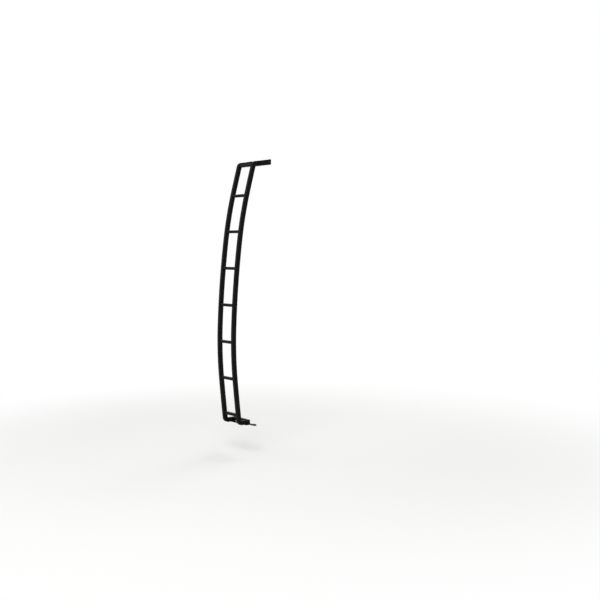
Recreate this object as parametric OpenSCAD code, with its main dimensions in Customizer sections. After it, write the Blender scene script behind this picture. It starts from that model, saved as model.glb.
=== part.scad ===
// Fixed side ladder that hangs from a roof rack and follows the bowed side of a tall van.
// X runs along the rungs, Y runs towards the vehicle and Z is up.
// The origin is the middle of the flat face that bolts against the rack.

/* [Stiles] */
// Width of the rectangular tube, along the rungs
tube_w = 30; // [24:1:34]
// Depth of the rectangular tube, square to the vehicle's side
tube_d = 40; // [36:1:50]
// Wall thickness of the tube
tube_wall = 2; // [1.5:0.5:3]
// Outer corner radius of the tube's section
tube_corner = 3; // [2.5:0.5:5]
// Distance from one stile's middle to the other's
stile_spacing = 217; // [180:1:320]
// Middle radius of the tight bends at head and foot
bend_radius = 28; // [26:1:60]

/* [Stile route] */
// Run of the head arm, from the rack to its bend
head_arm = 162; // [140:1:200]
// Rise of the head arm towards the rack, in degrees
head_rise = 7; // [4:1:10]
// Lean of the stile just below its head bend, in degrees from upright
top_lean = 16; // [12:1:20]
// Radius of the almost straight length below the head bend
top_radius = 20000; // [15000:1000:40000]
// Turn of that length, in degrees
top_turn = 0.7; // [0.4:0.1:1]
// Radius of the bow beside the roof's shoulder
shoulder_radius = 3500; // [3000:100:4500]
// Turn of that bow, in degrees
shoulder_turn = 7.2; // [6:0.1:8]
// Radius of the flat bow beside the upper panel
panel_radius = 8400; // [7000:100:10000]
// Turn of that bow, in degrees
panel_turn = 5.5; // [5:0.1:6]
// Radius of the bow beside the waist, which tucks in towards the sill
waist_radius = 3600; // [3000:100:4500]
// Turn of that bow, in degrees
waist_turn = 7.8; // [7:0.1:8]
// Radius of the almost straight length above the foot bend
low_radius = 20000; // [15000:1000:40000]
// Turn of that length, in degrees
low_turn = 1.04; // [0.8:0.01:1.1]
// Length of the foot arm that reaches under the sill
foot_arm = 86; // [84:1:140]

/* [Rungs] */
// Number of rungs
rung_count = 8; // [8:1:8]
// Step between rungs, measured along the stile
rung_step = 335.5; // [322:0.5:336]
// Distance from the end of the head bend, where the top rung sits, to the next rung
top_step = 283; // [260:1:283]
// Height of a rung's section
rung_h = 27; // [24:1:30]
// Depth of a rung's section
rung_d = 30; // [26:1:32]
// Wall thickness of a rung
rung_wall = 2; // [1.5:0.5:2.5]
// Ribs along a rung's tread
rib_count = 5; // [3:1:5]

/* [Head fixing] */
// Thickness of the strip that lies against the rack
strip_t = 6; // [4:1:8]
// Height of the strip
strip_h = 50; // [48:1:60]
// Distance between the strip's two slots
slot_spacing = 120; // [80:5:130]
// Sheet thickness of the brackets that hold the head arms
bracket_t = 3; // [2:0.5:4]
// Length of a bracket along its top
bracket_top_run = 84; // [70:2:110]
// Length of a bracket along its lower edge
bracket_low_run = 146; // [130:2:150]

/* [Foot fixing] */
// Height of the cross tube between the foot arms, which is the stiles' tube laid flat
cross_h = 25; // [20:1:30]
// Length of the rubber strip on the cross tube
strip_run = 176; // [120:2:180]
// Length of the flat bar under the foot arms
bar_length = 496; // [460:4:520]
// Width of the flat bar
bar_w = 30; // [25:1:40]
// Thickness of the flat bar
bar_t = 6; // [5:1:8]
// Rise of the bar's cranked ends
bar_crank = 12; // [8:1:16]
// Distance between the bar's two sill holes
sill_hole_spacing = 444; // [400:2:450]
// Thickness of the rubber pad at each end of the bar
sill_pad_t = 5; // [3:1:8]

/* [Hidden] */
$fn = 64;

// Runs past a cut so that no skin is left
over = 1;
bolt_hole_r = 4.5;
// Cross bolts through bracket and head arm: distance from the rack, drop below the arm's middle
head_bolts = [[30, 0], [92, 3]];
// Foot plug: length, play in the tube, thickness of its cap
plug_run = 78;
plug_play = 0.2;
plug_cap = 2.5;
// Cross bolt of the plug, from the tube's inner end, and depth of the plug's upright tapped hole
plug_bolt_back = 66;
plug_tap_depth = 28;
// Slots of the rack strip: length, width
slot_size = [24, 9];
strip_corner = 6;
bar_corner = 8;
// Countersink of the bolts that come up through the flat bar
countersink_r = 8.2;
countersink_depth = 3.7;
// Place of the cross tube's inner side, from the tube's inner end
cross_back = 3;
cross_strip_t = 4;
// Place of the flat bar's middle, from the tube's inner end
bar_back = 27;
rib_h = 1.4;
rib_pitch = 4.6;
rib_gap = 2.2;
pad_length = 44;
black = "#17181a";
rubber = "#26262a";
plastic = "#1d1e20";

// The stile's route in side view, as [Y, Z] points and headings in degrees.
// It starts at the rack. Every length between the two arms is [radius, turn].
head_turn = 90 - top_lean - head_rise;
bow_turn = top_turn + shoulder_turn + panel_turn + waist_turn + low_turn;
foot_turn = 90 + top_lean - bow_turn;
first_heading = 180 + head_rise;
arm_start = [-strip_t, 0];
// The head arm is drawn as a bow too flat to see, which reaches past the rack and is cut there
arm_bow = [100000, 0.12];
bends = [
  [bend_radius, head_turn],
  [top_radius, top_turn],
  [shoulder_radius, shoulder_turn],
  [panel_radius, panel_turn],
  [waist_radius, waist_turn],
  [low_radius, low_turn],
  [bend_radius, foot_turn]
];

function left_of(heading) = [-sin(heading), cos(heading)];
function run_of(bend) = bend[0] * bend[1] * PI / 180;
function after(point, heading, bend) =
  point + bend[0] * (left_of(heading) - left_of(heading + bend[1]));
function before(point, heading, bend) =
  point - bend[0] * (left_of(heading - bend[1]) - left_of(heading));

// Point and heading where bend number i starts
function start_of(i) = i == 0
  ? [arm_start + head_arm * [cos(first_heading), sin(first_heading)], first_heading]
  : let (last = start_of(i - 1), bend = bends[i - 1])
    [after(last[0], last[1], bend), last[1] + bend[1]];

// Point of the tube's middle line at a distance along the route from the head bend's start
function along(distance, i = 0) = distance <= run_of(bends[i])
  ? after(start_of(i)[0], start_of(i)[1], [bends[i][0], distance / bends[i][0] * 180 / PI])
  : along(distance - run_of(bends[i]), i + 1);

// The top rung sits in the head bend, and the others follow at the rung step
function rung_at(n) = n == rung_count
  ? 0.8 * run_of(bends[0])
  : run_of(bends[0]) + top_step + (rung_count - 1 - n) * rung_step;

foot_start = start_of(len(bends))[0];
foot_end = foot_start + [foot_arm, 0];
bar_y = foot_end[0] - bar_back;
bar_top = foot_end[1] - tube_d / 2;
cross_y = foot_end[0] - cross_back - tube_d / 2;
cross_top = foot_end[1] + tube_d / 2;

// Local X and Y become the row's Y and Z, and local Z the row's X
module in_side_view() {
  rotate([90, 0, 90])
    children();
}

module rounded(size, r) {
  square([size[0] - 2 * r, size[1]], center = true);
  square([size[0], size[1] - 2 * r], center = true);
  for (sx = [-1, 1], sy = [-1, 1])
    translate([sx * (size[0] / 2 - r), sy * (size[1] / 2 - r)])
      circle(r, $fn = 32);
}

module tube_section() {
  difference() {
    rounded([tube_d, tube_w], tube_corner);
    rounded([tube_d - 2 * tube_wall, tube_w - 2 * tube_wall], tube_corner - tube_wall);
  }
}

// Moves in three steps, coarse to fine, so that the lengths of a stile meet without a gap
module place(point) {
  coarse = [for (v = point) round(v)];
  fine = [for (v = point - coarse) round(v * 1e5) / 1e5];
  translate(coarse)
    translate(fine)
      translate(point - coarse - fine)
        children();
}

module bent_length(point, heading, bend) {
  place(point + bend[0] * left_of(heading))
    rotate_extrude(angle = bend[1], start = heading - 90, $fn = 720)
      translate([bend[0], 0])
        tube_section();
}

// Frame of the head arm: X along the arm away from the rack, Y down, Z along the rungs
module on_head_arm() {
  in_side_view()
    translate(arm_start)
      rotate([0, 0, first_heading])
        children();
}

module bolt_across(length) {
  cylinder(h = length, r = bolt_hole_r, center = true);
}

module stile() {
  head = start_of(0);
  color(black)
    difference() {
      in_side_view() {
        bent_length(before(head[0], head[1], arm_bow), head[1] - arm_bow[1], arm_bow);
        for (i = [0:len(bends) - 1])
          bent_length(start_of(i)[0], start_of(i)[1], bends[i]);
        place(foot_start)
          rotate([90, 0, 90])
            linear_extrude(foot_arm)
              tube_section();
      }
      // The arm's end is cut upright, to lie flat on the strip
      translate([-tube_w, -strip_t, -tube_d])
        cube([2 * tube_w, 3 * tube_d, 2 * tube_d]);
      on_head_arm()
        for (bolt = head_bolts)
          translate(bolt)
            bolt_across(tube_w + 2 * over);
      translate([0, foot_end[0] - plug_bolt_back, foot_end[1]])
        rotate([0, 90, 0])
          bolt_across(tube_w + 2 * over);
      translate([0, bar_y, bar_top - over])
        cylinder(h = tube_d / 2, r = bolt_hole_r);
    }
}

module rung_section() {
  corner = 8;
  difference() {
    rounded([rung_d, rung_h], corner);
    rounded([rung_d - 2 * rung_wall - 1, rung_h - 2 * rung_wall - 2], corner - rung_wall);
    // Grooves that leave the ribs of the tread standing
    for (i = [0:rib_count])
      translate([(i - rib_count / 2) * rib_pitch, rung_h / 2])
        square([rib_gap, 2 * rib_h], center = true);
  }
}

module rung(n) {
  place = along(rung_at(n));
  length = stile_spacing - tube_w;
  color(black)
    translate([-length / 2, place[0], place[1]])
      rotate([90, 0, 90])
        linear_extrude(length)
          rung_section();
}

// Folded saddle over the head arm, with cheeks that reach out below the arm's bend
module rack_bracket() {
  half_d = tube_d / 2;
  cheek_w = tube_w + 2 * bracket_t;
  low_edge = half_d - 2;
  color(black)
    difference() {
      on_head_arm()
        intersection() {
          translate([-tube_d / 2, 0])
            rotate([90, 0, 90])
              linear_extrude(bracket_low_run + tube_d)
                difference() {
                  rounded([tube_d + 2 * bracket_t, cheek_w], tube_corner + bracket_t);
                  rounded([tube_d, tube_w], tube_corner);
                  translate([half_d, 0])
                    square([tube_d, tube_w], center = true);
                  translate([low_edge + tube_d / 2, 0])
                    square([tube_d, 2 * cheek_w], center = true);
                }
          translate([0, 0, -cheek_w])
            linear_extrude(2 * cheek_w)
              polygon([
                [-tube_d, -tube_d],
                [bracket_top_run, -tube_d],
                [bracket_top_run, -half_d - bracket_t / 2],
                [bracket_low_run, low_edge - 8],
                [bracket_low_run, tube_d],
                [-tube_d, tube_d]
              ]);
        }
      translate([-tube_w, -strip_t, -tube_d])
        cube([2 * tube_w, 2 * tube_d, 2 * tube_d]);
      on_head_arm()
        for (bolt = head_bolts)
          translate(bolt)
            bolt_across(cheek_w + 2 * over);
    }
}

module slot(length, width, depth) {
  for (s = [-1, 1])
    translate([s * (length - width) / 2, 0, 0])
      cylinder(h = depth, r = width / 2, center = true);
  cube([length - width, width, depth], center = true);
}

// Welded to both brackets and bolted through its slots to the rack
module rack_strip() {
  length = stile_spacing + tube_w + 2 * bracket_t + 4;
  color(black)
    rotate([90, 0, 0])
      difference() {
        linear_extrude(strip_t)
          rounded([length, strip_h], strip_corner);
        for (s = [-1, 1])
          translate([s * slot_spacing / 2, 0, strip_t / 2])
            slot(slot_size[0], slot_size[1], strip_t + 2 * over);
      }
}

// Block that fills the open end of a foot arm and takes the bolts
module foot_plug() {
  body_w = tube_w - 2 * tube_wall - 2 * plug_play;
  body_d = tube_d - 2 * tube_wall - 2 * plug_play;
  color(plastic)
    difference() {
      union() {
        translate([0, foot_end[0] + plug_cap, foot_end[1]])
          rotate([90, 0, 0])
            linear_extrude(plug_cap)
              rounded([tube_w, tube_d], tube_corner);
        translate([-body_w / 2, foot_end[0] - plug_run, foot_end[1] - body_d / 2])
          cube([body_w, plug_run, body_d]);
      }
      translate([0, foot_end[0] - plug_bolt_back, foot_end[1]])
        rotate([0, 90, 0])
          bolt_across(tube_w);
      translate([0, bar_y, bar_top - over])
        cylinder(h = plug_tap_depth, r = bolt_hole_r);
    }
}

// Ties the two foot arms together, flush with their tops
module foot_crossbar() {
  length = stile_spacing - tube_w;
  color(black)
    translate([-length / 2, cross_y, cross_top - cross_h / 2])
      rotate([90, 0, 90])
        linear_extrude(length)
          difference() {
            rounded([tube_d, cross_h], tube_corner);
            rounded([tube_d - 2 * tube_wall, cross_h - 2 * tube_wall], tube_corner - tube_wall);
          }
}

// Rubber strip that keeps the cross tube off the sill
module crossbar_strip() {
  groove = 2;
  width = tube_d - 10;
  color(rubber)
    translate([-strip_run / 2, cross_y, cross_top])
      rotate([90, 0, 90])
        linear_extrude(strip_run)
          difference() {
            translate([-width / 2, 0])
              square([width, cross_strip_t]);
            for (i = [-2:2])
              translate([i * width / 5, cross_strip_t])
                square([groove, groove], center = true);
          }
}

// Flat bar, cranked up beyond the foot arms to meet the sill
module sill_bar() {
  bend_in = stile_spacing / 2 + tube_w / 2 + 2;
  bend_out = bend_in + 20;
  half = bar_length / 2;
  // Shift that keeps the cranked part as thick as the rest
  lag = bar_t * tan(atan(bar_crank / (bend_out - bend_in)) / 2);
  color(black)
    difference() {
      intersection() {
        translate([0, bar_y + bar_w / 2, bar_top])
          rotate([90, 0, 0])
            linear_extrude(bar_w)
              polygon([
                [-half, bar_crank],
                [-bend_out, bar_crank],
                [-bend_in, 0],
                [bend_in, 0],
                [bend_out, bar_crank],
                [half, bar_crank],
                [half, bar_crank - bar_t],
                [bend_out + lag, bar_crank - bar_t],
                [bend_in + lag, -bar_t],
                [-bend_in - lag, -bar_t],
                [-bend_out - lag, bar_crank - bar_t],
                [-half, bar_crank - bar_t]
              ]);
        translate([0, bar_y, bar_top - tube_d])
          linear_extrude(2 * tube_d)
            rounded([bar_length, bar_w], bar_corner);
      }
      for (s = [-1, 1])
        translate([s * sill_hole_spacing / 2, bar_y, bar_top + bar_crank - bar_t - over])
          cylinder(h = bar_t + 2 * over, r = bolt_hole_r);
      for (s = [-1, 1])
        translate([s * stile_spacing / 2, bar_y, bar_top - bar_t]) {
          cylinder(h = bar_t + over, r = bolt_hole_r);
          cylinder(h = countersink_depth, r1 = countersink_r, r2 = bolt_hole_r);
        }
    }
}

// Rubber pad between the bar's end and the sill
module sill_pad(s) {
  color(rubber)
    translate([s * sill_hole_spacing / 2, bar_y, bar_top + bar_crank])
      linear_extrude(sill_pad_t)
        difference() {
          rounded([pad_length, bar_w], bar_corner);
          circle(bolt_hole_r);
        }
}

module at_stile(s) {
  translate([s * stile_spacing / 2, 0, 0])
    children();
}

at_stile(-1) stile();  // front_stile
at_stile(1) stile();  // rear_stile
for (n = [1:rung_count])
  rung(n);
at_stile(-1) rack_bracket();  // front_rack_bracket
at_stile(1) rack_bracket();  // rear_rack_bracket
rack_strip();
at_stile(-1) foot_plug();  // front_foot_plug
at_stile(1) foot_plug();  // rear_foot_plug
foot_crossbar();
crossbar_strip();
sill_bar();
sill_pad(-1);  // front_sill_pad
sill_pad(1);  // rear_sill_pad
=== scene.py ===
import math

import bmesh
import bpy
from mathutils import Matrix, Vector


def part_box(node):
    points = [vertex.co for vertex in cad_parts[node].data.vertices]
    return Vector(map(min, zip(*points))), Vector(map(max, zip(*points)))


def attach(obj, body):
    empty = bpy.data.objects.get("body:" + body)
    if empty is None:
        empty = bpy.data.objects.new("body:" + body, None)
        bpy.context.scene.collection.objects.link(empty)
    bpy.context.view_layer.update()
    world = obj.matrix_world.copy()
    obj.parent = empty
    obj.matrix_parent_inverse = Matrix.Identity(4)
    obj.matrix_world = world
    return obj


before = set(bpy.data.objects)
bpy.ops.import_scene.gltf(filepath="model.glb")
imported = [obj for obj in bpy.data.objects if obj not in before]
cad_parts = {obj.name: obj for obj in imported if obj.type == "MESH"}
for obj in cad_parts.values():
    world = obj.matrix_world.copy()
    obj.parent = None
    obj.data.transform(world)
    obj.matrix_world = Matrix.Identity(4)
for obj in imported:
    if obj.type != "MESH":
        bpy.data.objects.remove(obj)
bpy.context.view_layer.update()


# Stiles: two lengths of 40 x 30 x 2 mm rectangular steel tube, rolled to a shallow bow and
# bent tightly at head and foot. They are blasted, welded up with the rungs and powder-coated
# satin black in one go.
BLACK_COAT = "#050506"
BLACK_COAT_THIN = "#0d0d0e"
COAT_IOR = 1.5
COAT_GLOSS = 0.07  # far below a usual powder coat, because the photo's ladder is so dark
COAT_CLOUD_MM = 90
PEEL_MM = 1.6  # the real peel is near 0.5 mm, drawn coarser so that it shows
PEEL_STRENGTH = 0.6
PEEL_HEIGHT = 0.0003
STILE_WIDTH = 0.030
STILE_SPACING = 0.217


def linear(hex_colour):
    """The linear RGBA of an sRGB hex colour."""
    parts = [int(hex_colour[i : i + 2], 16) / 255 for i in (1, 3, 5)]
    return [p / 12.92 if p <= 0.04045 else ((p + 0.055) / 1.055) ** 2.4 for p in parts] + [1]


def add_node(tree, kind, inputs=None, **settings):
    """One shader node with its settings, its input values and its links."""
    made = tree.nodes.new(kind)
    for name, value in settings.items():
        setattr(made, name, value)
    for name, value in (inputs or {}).items():
        if isinstance(value, bpy.types.NodeSocket):
            tree.links.new(value, made.inputs[name])
        else:
            made.inputs[name].default_value = value
    return made


def start_material(name, **shader_values):
    """A material with one Principled shader, and the row frame's metres as its coordinates."""
    material = bpy.data.materials.new(name)
    material.use_nodes = True
    tree = material.node_tree
    tree.nodes.clear()
    shader = add_node(
        tree,
        "ShaderNodeBsdfPrincipled",
        {key.replace("_", " "): value for key, value in shader_values.items()},
    )
    add_node(tree, "ShaderNodeOutputMaterial", {"Surface": shader.outputs["BSDF"]})
    place = add_node(tree, "ShaderNodeTexCoord").outputs["Object"]
    return material, tree, shader, place


def per_metre(size_mm):
    """How many of a pattern's features of that size lie along a metre."""
    return 1000 / size_mm


def add_peel(tree, place):
    """The orange peel of sprayed powder: its pattern, and the bump that it gives."""
    peel = add_node(
        tree,
        "ShaderNodeTexNoise",
        {"Vector": place, "Scale": per_metre(PEEL_MM), "Detail": 2.0},
    )
    peel_bump = add_node(
        tree,
        "ShaderNodeBump",
        {"Height": peel.outputs["Fac"], "Strength": PEEL_STRENGTH, "Distance": PEEL_HEIGHT},
    )
    return peel, peel_bump


# The peel of the sprayed powder breaks up the highlights along the tube's corners. The film
# is a little thinner, so greyer and duller, in wide soft clouds. Painted shade darkens the
# peel's hollows and painted light lifts its crests, so that the peel shows.
powder_coated_steel, tree, shader, place = start_material(
    "powder_coated_steel", Metallic=0.0, IOR=COAT_IOR, Specular_IOR_Level=COAT_GLOSS
)
cloud = add_node(
    tree,
    "ShaderNodeTexNoise",
    {"Vector": place, "Scale": per_metre(COAT_CLOUD_MM), "Detail": 3.0},
)
tone = add_node(tree, "ShaderNodeValToRGB", {"Fac": cloud.outputs["Fac"]})
tone.color_ramp.elements[0].position = 0.35
tone.color_ramp.elements[0].color = linear(BLACK_COAT)
tone.color_ramp.elements[1].position = 0.7
tone.color_ramp.elements[1].color = linear(BLACK_COAT_THIN)
sheen = add_node(
    tree,
    "ShaderNodeMapRange",
    {"Value": cloud.outputs["Fac"], "To Min": 0.36, "To Max": 0.5},
)
peel, peel_bump = add_peel(tree, place)
# painted shade in the peel's hollows and painted light on its crests, scaling the coat's colour
peel_shade_and_light = add_node(
    tree,
    "ShaderNodeMapRange",
    {"Value": peel.outputs["Fac"], "From Min": 0.3, "From Max": 0.7, "To Min": 0.55, "To Max": 1.5},
)
coat = add_node(
    tree,
    "ShaderNodeVectorMath",
    {0: tone.outputs["Color"], "Scale": peel_shade_and_light.outputs["Result"]},
    operation="SCALE",
)
tree.links.new(coat.outputs["Vector"], shader.inputs["Base Color"])
tree.links.new(sheen.outputs["Result"], shader.inputs["Roughness"])
tree.links.new(peel_bump.outputs["Normal"], shader.inputs["Normal"])


def finish_node(name, material):
    """Gives a CAD node its material."""
    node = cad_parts[name]
    node.data.materials.clear()
    node.data.materials.append(material)


for name in ("front_stile", "rear_stile"):
    finish_node(name, powder_coated_steel)


# Rungs: eight lengths of a hollow ribbed section, 30 deep and 27 high, cut square and set
# between the stiles. They are coated with the frame. The tops of the ribs are a lighter grey,
# most of all in the middle of each rung: partly wear from boots, partly painted light on the tops.
TREAD_COAT = "#060607"
# lighter grey of the rib tops: boot wear together with painted light on the tops
TREAD_BURNISHED_AND_LIT = "#7d7f83"
TREAD_SCUFF_MM = 2.5
RUNG_COUNT = 8
RUNG_HEIGHT = 0.027
RUNG_DEPTH = 0.030
RUNG_CORNER = 0.008

# The tops of the ribs are a lighter grey under fine scuffs, partly boot wear and partly painted
# light, and shinier than the coat.
powder_coated_tread, tree, shader, place = start_material(
    "powder_coated_tread", Metallic=0.0, IOR=COAT_IOR, Specular_IOR_Level=COAT_GLOSS
)
spread = add_node(tree, "ShaderNodeTexCoord").outputs["Generated"]
spread_parts = add_node(tree, "ShaderNodeSeparateXYZ", {"Vector": spread})
rib_top = add_node(
    tree,
    "ShaderNodeMapRange",
    {"Value": spread_parts.outputs["Z"], "From Min": 0.93, "From Max": 0.98},
)
off_middle = add_node(
    tree,
    "ShaderNodeMath",
    {0: spread_parts.outputs["X"], 1: 0.5},
    operation="SUBTRACT",
)
off_middle = add_node(tree, "ShaderNodeMath", {0: off_middle.outputs[0]}, operation="ABSOLUTE")
middle = add_node(
    tree,
    "ShaderNodeMapRange",
    {
        "Value": off_middle.outputs[0],
        "From Min": 0.18,
        "From Max": 0.48,
        "To Min": 1.0,
        "To Max": 0.4,
    },
)
scuff = add_node(
    tree,
    "ShaderNodeTexNoise",
    {"Vector": place, "Scale": per_metre(TREAD_SCUFF_MM), "Detail": 5.0, "Roughness": 0.65},
)
scuffed = add_node(
    tree,
    "ShaderNodeMapRange",
    {"Value": scuff.outputs["Fac"], "From Min": 0.3, "From Max": 0.65, "To Min": 0.5},
)
# mask of the lighter rib tops: boot wear together with painted light on the tops
worn_and_lit = add_node(
    tree,
    "ShaderNodeMath",
    {0: rib_top.outputs["Result"], 1: middle.outputs["Result"]},
    operation="MULTIPLY",
)
worn_and_lit = add_node(
    tree,
    "ShaderNodeMath",
    {0: worn_and_lit.outputs[0], 1: scuffed.outputs["Result"]},
    operation="MULTIPLY",
)
tone = add_node(tree, "ShaderNodeValToRGB", {"Fac": worn_and_lit.outputs[0]})
tone.color_ramp.elements[0].color = linear(TREAD_COAT)
tone.color_ramp.elements[1].color = linear(TREAD_BURNISHED_AND_LIT)
sheen = add_node(
    tree,
    "ShaderNodeMapRange",
    {"Value": worn_and_lit.outputs[0], "To Min": 0.46, "To Max": 0.3},
)
peel_bump = add_peel(tree, place)[1]
tree.links.new(tone.outputs["Color"], shader.inputs["Base Color"])
tree.links.new(sheen.outputs["Result"], shader.inputs["Roughness"])
tree.links.new(peel_bump.outputs["Normal"], shader.inputs["Normal"])

for n in range(1, RUNG_COUNT + 1):
    finish_node(f"rung_{n}", powder_coated_tread)


# Rung welds: one fillet run right round each end of each rung, against the stile's inner
# face. A hand-held torch leaves it in overlapping ripples, and the coat lies over them.
BEAD_RADIUS = 0.0026
BEAD_RIPPLE = 0.0024
BEAD_STEPS_A_RIPPLE = 5
BEAD_STEP = BEAD_RIPPLE / BEAD_STEPS_A_RIPPLE
BEAD_SIDES = 8
BEAD_CREST = 1.06  # of the radius, where a ripple starts
BEAD_FALL = 0.2  # of the radius, lost along a whole ripple
BEAD_TIP = 0.45  # of the size, at the end of a run that isn't closed
BEAD_TIP_GROWTH = 0.18  # what each step away from that end adds
BEAD_STANDOFF = 0.0006
BEAD_SHARP_DEG = 60
OUTLINE_CORNER_STEPS = 24


def rounded_outline(width, height, corner, step):
    """Points at even steps round a rectangle with round corners, centred on the origin."""
    half = (width / 2 - corner, height / 2 - corner)
    dense = []
    for quarter, (sx, sy) in enumerate(((1, 1), (-1, 1), (-1, -1), (1, -1))):
        for i in range(OUTLINE_CORNER_STEPS + 1):
            turn = (quarter + i / OUTLINE_CORNER_STEPS) * math.pi / 2
            dense.append(
                Vector(
                    (
                        sx * half[0] + corner * math.cos(turn),
                        sy * half[1] + corner * math.sin(turn),
                    )
                )
            )
    return even_steps(dense + [dense[0]], step)[:-1]


def even_steps(points, step):
    """The same line as points at equal steps of about that length."""
    lengths = [(b - a).length for a, b in zip(points, points[1:])]
    total = sum(lengths)
    count = max(2, round(total / step))
    found, gone, i = [], 0.0, 0
    for k in range(count + 1):
        want = total * k / count
        while i < len(lengths) - 1 and gone + lengths[i] < want:
            gone += lengths[i]
            i += 1
        share = (want - gone) / lengths[i] if lengths[i] else 0
        found.append(points[i].lerp(points[i + 1], min(1.0, share)))
    return found


def weld_bead(bm, points, flat, closed):
    """A rippled weld run along points that lie in the plane square to flat."""
    rings = []
    count = len(points)
    for i, point in enumerate(points):
        ahead = points[(i + 1) % count] if closed else points[min(i + 1, count - 1)]
        behind = points[i - 1] if closed else points[max(i - 1, 0)]
        run = (ahead - behind).normalized()
        side = run.cross(flat)
        wave = i % BEAD_STEPS_A_RIPPLE / BEAD_STEPS_A_RIPPLE
        size = BEAD_RADIUS * (BEAD_CREST - BEAD_FALL * wave)
        if not closed:
            size *= min(1.0, BEAD_TIP + BEAD_TIP_GROWTH * min(i, count - 1 - i))
        rings.append(
            [
                bm.verts.new(
                    point
                    + size
                    * (
                        flat * math.cos(2 * math.pi * k / BEAD_SIDES)
                        + side * math.sin(2 * math.pi * k / BEAD_SIDES)
                    )
                )
                for k in range(BEAD_SIDES)
            ]
        )
    pairs = list(zip(rings, rings[1:])) + ([(rings[-1], rings[0])] if closed else [])
    for a, b in pairs:
        for k in range(BEAD_SIDES):
            after = (k + 1) % BEAD_SIDES
            bm.faces.new((a[k], a[after], b[after], b[k]))
    if not closed:
        bm.faces.new(rings[0][::-1])
        bm.faces.new(rings[-1])


def fit_piece(name, bm, material, sharp_deg):
    """Turns a bmesh into a named piece of the ladder, smooth up to the given edge angle."""
    bmesh.ops.recalc_face_normals(bm, faces=bm.faces)
    mesh = bpy.data.meshes.new(name)
    bm.to_mesh(mesh)
    bm.free()
    for face in mesh.polygons:
        face.use_smooth = True
    mesh.set_sharp_from_angle(angle=math.radians(sharp_deg))
    mesh.materials.append(material)
    piece = bpy.data.objects.new(name, mesh)
    bpy.context.scene.collection.objects.link(piece)
    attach(piece, "root")


def end_welds(name, low, high, depth, height, corner):
    """A weld run right round both ends of a length that is set between the stiles."""
    middle_y, middle_z = (low.y + high.y) / 2, (low.z + high.z) / 2
    outline = rounded_outline(
        depth + 2 * BEAD_STANDOFF,
        height + 2 * BEAD_STANDOFF,
        corner + BEAD_STANDOFF,
        BEAD_STEP,
    )
    bm = bmesh.new()
    for inwards, face_x in ((1, low.x), (-1, high.x)):
        bead_x = face_x + inwards * BEAD_STANDOFF
        run = [Vector((bead_x, middle_y + p.x, middle_z + p.y)) for p in outline]
        weld_bead(bm, run, Vector((1, 0, 0)), True)
    fit_piece(name, bm, powder_coated_steel, BEAD_SHARP_DEG)


for n in range(1, RUNG_COUNT + 1):
    low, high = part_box(f"rung_{n}")
    end_welds(f"rung_{n}_welds", low, high, RUNG_DEPTH, RUNG_HEIGHT, RUNG_CORNER)


# Head strip and brackets: a 50 x 6 mm flat with two slots for its fixing bolts, and a saddle
# folded from 3 mm sheet over each head arm. Saddle and strip are welded round the outside,
# and coated like the stiles.
BRACKET_WIDTH = 0.036
BRACKET_TOP = 0.0232
BRACKET_LOW = -0.0180
BRACKET_CORNER = 0.006
BRACKET_CORNER_STEPS = 12
BRACKET_WELD_STANDOFF = 0.0004
STRIP_FRONT = -0.006
ARM_RISE_DEG = 7

for name in ("front_rack_bracket", "rear_rack_bracket", "rack_strip"):
    finish_node(name, powder_coated_steel)

for name, side in (("front_bracket_weld", -1), ("rear_bracket_weld", 1)):
    centre = side * STILE_SPACING / 2
    half = BRACKET_WIDTH / 2 + BRACKET_WELD_STANDOFF
    bead_y = STRIP_FRONT - BRACKET_WELD_STANDOFF
    corner_z = BRACKET_TOP + BRACKET_WELD_STANDOFF - BRACKET_CORNER
    saddle = [Vector((centre - half, bead_y, BRACKET_LOW))]
    for corner_side, first_turn in ((-1, math.pi), (1, math.pi / 2)):
        corner_x = centre + corner_side * (half - BRACKET_CORNER)
        for i in range(BRACKET_CORNER_STEPS + 1):
            turn = first_turn - i / BRACKET_CORNER_STEPS * math.pi / 2
            saddle.append(
                Vector(
                    (
                        corner_x + BRACKET_CORNER * math.cos(turn),
                        bead_y,
                        corner_z + BRACKET_CORNER * math.sin(turn),
                    )
                )
            )
    saddle.append(Vector((centre + half, bead_y, BRACKET_LOW)))
    bm = bmesh.new()
    weld_bead(bm, even_steps(saddle, BEAD_STEP), Vector((0, 1, 0)), False)
    fit_piece(name, bm, powder_coated_steel, BEAD_SHARP_DEG)


# Head bolts: two M8 hex bolts through each saddle and head arm, heads outwards, with a
# washer under the head and a washer and self-locking nut at the other end. They are
# black zinc, so that nothing bright shows beside the coat.
BOLT_RADIUS = 0.004
HEX_ACROSS = 0.013
HEX_FULL = 0.0076  # just beyond the hexagon's corners, so that they stay sharp
HEAD_HEIGHT = 0.0053
NUT_HEIGHT = 0.0065
WASHER_RADIUS = 0.008
WASHER_THICK = 0.0016
THREAD_PITCH = 0.00125
THREAD_DEPTH = 0.0005
THREAD_RINGS = 7
THREAD_START = 0.0010  # above the nut's top, inside the collar
COLLAR_SINK = 0.0002  # how far the collar starts below the nut's top
TURNED_STEPS = 48
BOLT_SHARP_DEG = 35
BLACK_ZINC = "#1d1e21"
BLACK_ZINC_PALE = "#2e3033"
ZINC_GRAIN_MM = 1.2

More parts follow.
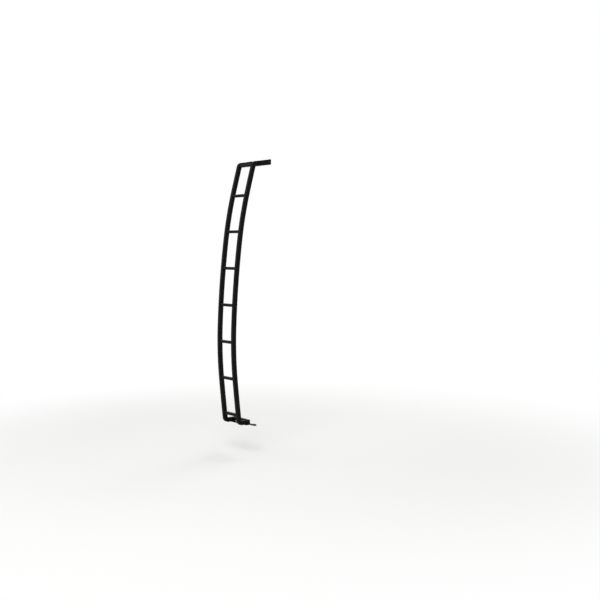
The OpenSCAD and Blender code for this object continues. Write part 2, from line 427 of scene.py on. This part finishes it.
# Each profile gives heights above the seat and the radius at each
WASHER_PROFILE = (
    (0, WASHER_RADIUS - 0.0002),
    (0.0002, WASHER_RADIUS),
    (WASHER_THICK - 0.0003, WASHER_RADIUS),
    (WASHER_THICK, WASHER_RADIUS - 0.0003),
)
HEAD_PROFILE = (
    (0, 0.0060),
    (0.0003, HEX_FULL),
    (HEAD_HEIGHT - 0.0008, HEX_FULL),
    (HEAD_HEIGHT - 0.0005, 0.0071),
    (HEAD_HEIGHT - 0.0002, 0.0066),
    (HEAD_HEIGHT, 0.0061),
)
NUT_PROFILE = (
    (0, 0.0062),
    (0.0005, 0.0070),
    (0.0008, HEX_FULL),
    (NUT_HEIGHT - 0.0008, HEX_FULL),
    (NUT_HEIGHT - 0.0004, 0.0070),
    (NUT_HEIGHT, 0.0063),
)
COLLAR_PROFILE = ((0, 0.0060), (0.0010, 0.0060), (0.0016, 0.0056), (0.0018, 0.0050))

# The plating is nearly black, with a faintly uneven metal sheen.
black_zinc, tree, shader, place = start_material("black_zinc_plated_steel", Metallic=1.0)
grain = add_node(
    tree,
    "ShaderNodeTexNoise",
    {"Vector": place, "Scale": per_metre(ZINC_GRAIN_MM), "Detail": 3.0},
)
tone = add_node(tree, "ShaderNodeValToRGB", {"Fac": grain.outputs["Fac"]})
tone.color_ramp.elements[0].position = 0.3
tone.color_ramp.elements[0].color = linear(BLACK_ZINC)
tone.color_ramp.elements[1].position = 0.75
tone.color_ramp.elements[1].color = linear(BLACK_ZINC_PALE)
sheen = add_node(
    tree,
    "ShaderNodeMapRange",
    {"Value": grain.outputs["Fac"], "To Min": 0.3, "To Max": 0.5},
)
tree.links.new(tone.outputs["Color"], shader.inputs["Base Color"])
tree.links.new(sheen.outputs["Result"], shader.inputs["Roughness"])


def turned(bm, seat, axis, profile, across_flats=None):
    """A body turned on axis to a profile, and milled to a hexagon if asked."""
    side = axis.orthogonal().normalized()
    other = axis.cross(side)
    made = []
    for height, radius in profile:
        ring = []
        for k in range(TURNED_STEPS):
            turn = 2 * math.pi * k / TURNED_STEPS
            reach = radius
            if across_flats:
                off_flat = (turn + math.pi / 6) % (math.pi / 3) - math.pi / 6
                reach = min(radius, across_flats / 2 / math.cos(off_flat))
            ring.append(
                bm.verts.new(
                    seat
                    + axis * height
                    + side * reach * math.cos(turn)
                    + other * reach * math.sin(turn)
                )
            )
        made.append(ring)
    for a, b in zip(made, made[1:]):
        for k in range(TURNED_STEPS):
            after = (k + 1) % TURNED_STEPS
            bm.faces.new((a[k], a[after], b[after], b[k]))
    bm.faces.new(made[0][::-1])
    bm.faces.new(made[-1])


def hex_head(bm, seat, axis):
    """A washer and a hex bolt's head, chamfered at its top."""
    turned(bm, seat, axis, WASHER_PROFILE)
    turned(bm, seat + axis * WASHER_THICK, axis, HEAD_PROFILE, HEX_ACROSS)


def locking_nut(bm, seat, axis):
    """A washer, a hex nut with its locking collar, and the bolt's thread end."""
    turned(bm, seat, axis, WASHER_PROFILE)
    on_washer = seat + axis * WASHER_THICK
    turned(bm, on_washer, axis, NUT_PROFILE, HEX_ACROSS)
    turned(bm, on_washer + axis * (NUT_HEIGHT - COLLAR_SINK), axis, COLLAR_PROFILE)
    thread = []
    for i in range(THREAD_RINGS):
        root = i % 2 == 1
        thread.append((i * THREAD_PITCH / 2, BOLT_RADIUS - (THREAD_DEPTH if root else 0)))
    turned(bm, on_washer + axis * (NUT_HEIGHT + THREAD_START), axis, thread)


def cross_bolt(name, y, z, stile_side, grip):
    """A bolt set across a stile: head on the outer side, nut on the inner side."""
    outwards = Vector((stile_side, 0, 0))
    middle_point = Vector((stile_side * STILE_SPACING / 2, y, z))
    bm = bmesh.new()
    hex_head(bm, middle_point + outwards * grip / 2, outwards)
    locking_nut(bm, middle_point - outwards * grip / 2, -outwards)
    fit_piece(name, bm, black_zinc, BOLT_SHARP_DEG)


# Along the head arm from the strip, and below the arm's middle
HEAD_BOLT_PLACES = ((0.030, 0.0), (0.092, 0.003))
rise = math.radians(ARM_RISE_DEG)
for name, side in (("front", -1), ("rear", 1)):
    for number, (along, below) in enumerate(HEAD_BOLT_PLACES, 1):
        y = STRIP_FRONT - along * math.cos(rise) + below * math.sin(rise)
        z = -along * math.sin(rise) - below * math.cos(rise)
        cross_bolt(f"{name}_head_bolt_{number}", y, z, side, BRACKET_WIDTH)


# Foot plugs: solid nylon blocks pushed into the open ends of the foot arms. They keep the
# water out, and the cross bolt and the bar's bolt hold in them.
NYLON_BLACK = "#1b1c1e"
NYLON_PALE = "#242528"
SPARK_MM = 0.9

# The mould's spark-eroded face gives the nylon a dull black with a fine even grain.
moulded_nylon, tree, shader, place = start_material(
    "moulded_nylon", Metallic=0.0, IOR=1.53, Specular_IOR_Level=0.35, Roughness=0.55
)
spark = add_node(
    tree,
    "ShaderNodeTexVoronoi",
    {"Vector": place, "Scale": per_metre(SPARK_MM)},
)
tone = add_node(tree, "ShaderNodeValToRGB", {"Fac": spark.outputs["Distance"]})
tone.color_ramp.elements[0].color = linear(NYLON_BLACK)
tone.color_ramp.elements[1].color = linear(NYLON_PALE)
spark_bump = add_node(
    tree,
    "ShaderNodeBump",
    {"Height": spark.outputs["Distance"], "Strength": 0.4, "Distance": 0.0001},
)
tree.links.new(tone.outputs["Color"], shader.inputs["Base Color"])
tree.links.new(spark_bump.outputs["Normal"], shader.inputs["Normal"])

for name in ("front_foot_plug", "rear_foot_plug"):
    finish_node(name, moulded_nylon)


# Foot bolts: one M8 bolt across each foot arm, through the plug, and one countersunk bolt up
# through the bar into the plug. They are black zinc like the head bolts.
FOOT_BOLT_BACK = 0.066
PLUG_CAP = 0.0025
COUNTERSINK_RADIUS = 0.0082
COUNTERSINK_DEPTH = 0.0037
HEX_KEY = 0.005
SOCKET_RADIUS = HEX_KEY / 2 / math.cos(math.pi / 6)

# The head sits in the bar's countersink, and the socket for the key is drawn round in it
BAR_BOLT_PROFILE = (
    (-0.002, BOLT_RADIUS),
    (0.0, BOLT_RADIUS + 0.0002),
    (COUNTERSINK_DEPTH - 0.0006, COUNTERSINK_RADIUS - 0.0009),
    (COUNTERSINK_DEPTH - 0.0002, COUNTERSINK_RADIUS - 0.0007),
    (COUNTERSINK_DEPTH - 0.0001, SOCKET_RADIUS),
    (COUNTERSINK_DEPTH - 0.0026, SOCKET_RADIUS - 0.0002),
)

bar_low, bar_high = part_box("sill_bar")
bar_middle_y = (bar_low.y + bar_high.y) / 2
down = Vector((0, 0, -1))
for name, side in (("front", -1), ("rear", 1)):
    plug_low, plug_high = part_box(f"{name}_foot_plug")
    arm_z = (plug_low.z + plug_high.z) / 2
    arm_end = plug_high.y - PLUG_CAP
    cross_bolt(f"{name}_foot_bolt", arm_end - FOOT_BOLT_BACK, arm_z, side, STILE_WIDTH)
    bm = bmesh.new()
    under_bar = Vector((side * STILE_SPACING / 2, bar_middle_y, bar_low.z))
    turned(bm, under_bar - down * COUNTERSINK_DEPTH, down, BAR_BOLT_PROFILE)
    fit_piece(f"{name}_bar_bolt", bm, black_zinc, BOLT_SHARP_DEG)


# Cross tube: a length of 40 x 25 mm tube welded in flat between the foot arms, flush with
# their tops. A fillet runs round each end, as on the rungs, and the coat covers it.
CROSS_CORNER = 0.003

finish_node("foot_crossbar", powder_coated_steel)

low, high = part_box("foot_crossbar")
end_welds("crossbar_welds", low, high, high.y - low.y, high.z - low.z, CROSS_CORNER)


# Rubber strip and bar pads: a ribbed extruded strip bonded along the cross tube, and a
# moulded pad at each end of the bar. They cushion the ladder where its foot bears.
RUBBER_GREY = "#2a2a2e"
RUBBER_BLOOM = "#37373c"
RUBBER_BLOOM_MM = 17.6
RUBBER_GRAIN_MM = 2.2

# The rubber is a dull dark grey with a fine grain, and bloom leaves it paler in patches.
moulded_rubber, tree, shader, place = start_material(
    "moulded_rubber", Metallic=0.0, IOR=1.52, Specular_IOR_Level=0.25, Roughness=0.75
)
bloom = add_node(
    tree,
    "ShaderNodeTexNoise",
    {"Vector": place, "Scale": per_metre(RUBBER_BLOOM_MM), "Detail": 4.0},
)
tone = add_node(tree, "ShaderNodeValToRGB", {"Fac": bloom.outputs["Fac"]})
tone.color_ramp.elements[0].position = 0.35
tone.color_ramp.elements[0].color = linear(RUBBER_GREY)
tone.color_ramp.elements[1].position = 0.72
tone.color_ramp.elements[1].color = linear(RUBBER_BLOOM)
grain = add_node(
    tree,
    "ShaderNodeTexNoise",
    {"Vector": place, "Scale": per_metre(RUBBER_GRAIN_MM), "Detail": 3.0},
)
grain_bump = add_node(
    tree,
    "ShaderNodeBump",
    {"Height": grain.outputs["Fac"], "Strength": 0.3, "Distance": 0.0002},
)
tree.links.new(tone.outputs["Color"], shader.inputs["Base Color"])
tree.links.new(grain_bump.outputs["Normal"], shader.inputs["Normal"])

for name in ("crossbar_strip", "front_sill_pad", "rear_sill_pad"):
    finish_node(name, moulded_rubber)


# Lower bar: a 30 x 6 mm steel flat with rounded corners, bolted up into the foot plugs. It is
# cranked up past both stiles, and is coated like the frame.
finish_node("sill_bar", powder_coated_steel)


# Stage: a pale floor a little below the ladder, which fades to white, a white backdrop, and
# soft studio lamps.
FLOOR_Z = -2.681
FLOOR_PALE = "#f4f4f2"
FLOOR_REACH = 30.0
FLOOR_FADE_START = 1.6
FLOOR_FADE_END = 4.5

floor_mesh = bpy.data.meshes.new("floor")
bm = bmesh.new()
corners = [
    bm.verts.new((sx * FLOOR_REACH, sy * FLOOR_REACH, FLOOR_Z))
    for sx, sy in ((-1, -1), (1, -1), (1, 1), (-1, 1))
]
bm.faces.new(corners)
bm.to_mesh(floor_mesh)
bm.free()
floor = bpy.data.objects.new("floor", floor_mesh)
bpy.context.scene.collection.objects.link(floor)
floor_paint = bpy.data.materials.new("pale_floor")
floor_paint.use_nodes = True
tree = floor_paint.node_tree
tree.nodes.clear()
matt = add_node(tree, "ShaderNodeBsdfDiffuse", {"Color": linear(FLOOR_PALE)})
white = add_node(tree, "ShaderNodeEmission", {"Color": (1, 1, 1, 1), "Strength": 1.0})
floor_place = add_node(tree, "ShaderNodeTexCoord").outputs["Object"]
away = add_node(tree, "ShaderNodeVectorMath", {0: floor_place, 1: (1, 1, 0)}, operation="MULTIPLY")
away = add_node(tree, "ShaderNodeVectorMath", {0: away.outputs[0]}, operation="LENGTH")
fade = add_node(
    tree,
    "ShaderNodeMapRange",
    {"Value": away.outputs["Value"], "From Min": FLOOR_FADE_START, "From Max": FLOOR_FADE_END},
    interpolation_type="SMOOTHSTEP",
)
rays = add_node(tree, "ShaderNodeLightPath")
seen = add_node(
    tree,
    "ShaderNodeMath",
    {0: rays.outputs["Is Camera Ray"], 1: rays.outputs["Is Glossy Ray"]},
    operation="ADD",
    use_clamp=True,
)
share = add_node(
    tree,
    "ShaderNodeMath",
    {0: fade.outputs["Result"], 1: seen.outputs[0]},
    operation="MULTIPLY",
)
blend = add_node(
    tree,
    "ShaderNodeMixShader",
    {0: share.outputs[0], 1: matt.outputs[0], 2: white.outputs[0]},
)
add_node(tree, "ShaderNodeOutputMaterial", {"Surface": blend.outputs[0]})
floor_mesh.materials.append(floor_paint)

SKY_LEVEL = 0.6
world = bpy.data.worlds.new("studio")
bpy.context.scene.world = world
world.use_nodes = True
tree = world.node_tree
tree.nodes.clear()
rays = add_node(tree, "ShaderNodeLightPath")
seen = add_node(
    tree,
    "ShaderNodeMath",
    {0: rays.outputs["Is Camera Ray"], 1: rays.outputs["Is Glossy Ray"]},
    operation="ADD",
)
seen = add_node(
    tree,
    "ShaderNodeMath",
    {0: seen.outputs[0], 1: rays.outputs["Is Transmission Ray"]},
    operation="ADD",
    use_clamp=True,
)
level = add_node(
    tree,
    "ShaderNodeMapRange",
    {"Value": seen.outputs[0], "To Min": SKY_LEVEL, "To Max": 1.0},
)
backdrop = add_node(
    tree,
    "ShaderNodeBackground",
    {"Color": (1, 1, 1, 1), "Strength": level.outputs["Result"]},
)
add_node(tree, "ShaderNodeOutputWorld", {"Surface": backdrop.outputs[0]})

LADDER_MIDDLE = Vector((0, -0.2, -1.2))
LAMPS = (
    ("key_lamp", (3.5, -5.0, 4.0), 4.0, 260),
    ("fill_lamp", (-4.5, -4.0, 1.5), 3.0, 30),
    ("back_lamp", (-1.5, 4.5, 3.0), 3.0, 120),
)
for name, spot, size, power in LAMPS:
    lamp = bpy.data.lights.new(name, "AREA")
    lamp.energy = power
    lamp.shape = "SQUARE"
    lamp.size = size
    hung = bpy.data.objects.new(name, lamp)
    hung.location = spot
    hung.rotation_mode = "QUATERNION"
    hung.rotation_quaternion = (LADDER_MIDDLE - Vector(spot)).to_track_quat("-Z", "Y")
    bpy.context.scene.collection.objects.link(hung)

# Camera: the photo's own viewpoint, on the ladder's outer side, well past its rear stile and
# 1.9 m above the floor. The values come from a pinhole camera that was fitted to the photo.
CAMERA_AT = (7.0558, -5.2978, -0.7601)
CAMERA_HEADING_DEG = 39.12
CAMERA_DIP_DEG = 3.37
CAMERA_ROLL_DEG = -0.25
CAMERA_LENS_MM = 56.45
CAMERA_SENSOR_MM = 36
CAMERA_CLIP_END = 200

heading, dip, roll = (
    math.radians(v) for v in (CAMERA_HEADING_DEG, CAMERA_DIP_DEG, CAMERA_ROLL_DEG)
)
ahead = Vector(
    (-math.cos(heading) * math.cos(dip), math.sin(heading) * math.cos(dip), -math.sin(dip))
)
right = ahead.cross(Vector((0, 0, 1))).normalized()
upward = right.cross(ahead)
right, upward = (
    right * math.cos(roll) + upward * math.sin(roll),
    upward * math.cos(roll) - right * math.sin(roll),
)
optics = bpy.data.cameras.new("photo_camera")
optics.lens = CAMERA_LENS_MM
optics.sensor_width = CAMERA_SENSOR_MM
optics.clip_end = CAMERA_CLIP_END
camera = bpy.data.objects.new("photo_camera", optics)
camera.matrix_world = Matrix(
    (
        (right.x, upward.x, -ahead.x, CAMERA_AT[0]),
        (right.y, upward.y, -ahead.y, CAMERA_AT[1]),
        (right.z, upward.z, -ahead.z, CAMERA_AT[2]),
        (0, 0, 0, 1),
    )
)
bpy.context.scene.collection.objects.link(camera)
bpy.context.scene.camera = camera
bpy.context.scene.view_settings.view_transform = "Standard"
